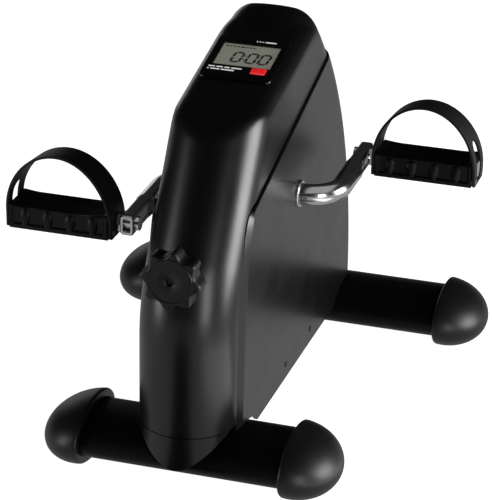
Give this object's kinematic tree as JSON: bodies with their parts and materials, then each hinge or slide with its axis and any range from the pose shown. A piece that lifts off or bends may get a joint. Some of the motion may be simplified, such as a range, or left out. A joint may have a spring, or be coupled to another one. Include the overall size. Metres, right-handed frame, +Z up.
{
  "type": "pedal exerciser",
  "caption": "Under-desk pedal exerciser: slim black housing on two oval floor tubes, chrome crank with strapped pedals, star tension knob and sloped console.",
  "frame": {"origin": "on the floor, at the centre of the object's footprint", "axes": "+X to the right of the seated user, +Y away from the user, +Z up"},
  "size_m": [0.3504, 0.425, 0.3383],
  "materials": {
    "painted_tube": "satin black powder coat",
    "frame_steel": "black paint",
    "cap_plastic": "fine moulded texture",
    "shell_plastic": "satin moulded ABS",
    "panel_plastic": "satin moulded ABS, slightly greyer",
    "chrome": "polished plating",
    "steel": "plain zinc-plated steel",
    "bearing_bush": "oiled nylon",
    "drum_iron": "machined rim",
    "brake_felt": "dense felt",
    "knob_plastic": "moulded",
    "pedal_plastic": "moulded with fine ribs",
    "strap_plastic": "flexible, smooth",
    "bezel_plastic": "glossy black",
    "display_clear": "clear window",
    "display_grey": "reflective segment display",
    "button_red": "soft red button",
    "board_green": "solder mask",
    "magnet_grey": "nickel"
  },
  "bodies": {
    "base": {"front_tube": "painted_tube", "rear_tube": "painted_tube", "front_left_cap": "cap_plastic", "front_right_cap": "cap_plastic", "rear_left_cap": "cap_plastic", "rear_right_cap": "cap_plastic", "frame_beam": "frame_steel", "front_saddle": "frame_steel", "rear_saddle": "frame_steel", "front_base_bolts": "steel", "rear_base_bolts": "steel", "left_cheek_plate": "frame_steel", "right_cheek_plate": "frame_steel", "cheek_feet": "frame_steel", "left_bearing": "steel", "right_bearing": "steel", "centre_shell": "shell_plastic", "foot_cover": "shell_plastic", "left_side_panel": "panel_plastic", "right_side_panel": "panel_plastic", "left_axle_bush": "chrome", "right_axle_bush": "chrome", "left_panel_screws": "steel", "right_panel_screws": "steel", "speed_sensor": "bezel_plastic", "screw_post": "frame_steel", "guide_rods": "steel", "console_case": "bezel_plastic", "display_window": "display_clear", "display_panel": "display_grey", "circuit_board": "board_green", "button_cells": "steel"},
    "crank": {"crank_tube": "chrome", "friction_drum": "drum_iron", "speed_magnet": "magnet_grey", "left_pedal_axle": "chrome", "left_axle_nut": "chrome", "right_pedal_axle": "chrome", "right_axle_nut": "chrome"},
    "left_pedal": {"left_pedal_body": "pedal_plastic", "left_strap": "strap_plastic", "left_strap_pins": "steel"},
    "right_pedal": {"right_pedal_body": "pedal_plastic", "right_strap": "strap_plastic", "right_strap_pins": "steel"},
    "knob": {"tension_knob": "knob_plastic", "tension_screw": "steel", "screw_washers": "steel"},
    "brake": {"brake_carriage": "frame_steel", "brake_pad": "brake_felt"},
    "button": {"mode_button": "button_red"}
  },
  "joints": [
    {"name": "crank_spin", "type": "hinge", "parent": "base", "child": "crank", "pos_m": [0, -0.002, 0.192], "axis": [1, 0, 0], "continuous": true},
    {"name": "left_pedal_spin", "type": "hinge", "parent": "crank", "child": "left_pedal", "pos_m": [-0.128, -0.10198, 0.18991], "axis": [1, 0, 0], "continuous": true},
    {"name": "right_pedal_spin", "type": "hinge", "parent": "crank", "child": "right_pedal", "pos_m": [0.128, 0.09798, 0.19409], "axis": [1, 0, 0], "continuous": true},
    {"name": "knob_turn", "type": "hinge", "parent": "base", "child": "knob", "pos_m": [0, -0.2, 0.194], "axis": [0, 1, 0], "range_deg": [0, 1080]},
    {"name": "brake_slide", "type": "slide", "parent": "base", "child": "brake", "axis": [0, 1, 0], "range_m": [0, 0.00376]},
    {"name": "mode_press", "type": "slide", "parent": "base", "child": "button", "axis": [0, 0.2334, -0.9724], "range_m": [0, 0.001], "stiffness_N_per_m": 600}
  ],
  "couplings": [
    {"joint": "brake_slide", "follows": "knob_turn", "m_per_rad": 0.00019894}
  ]
}
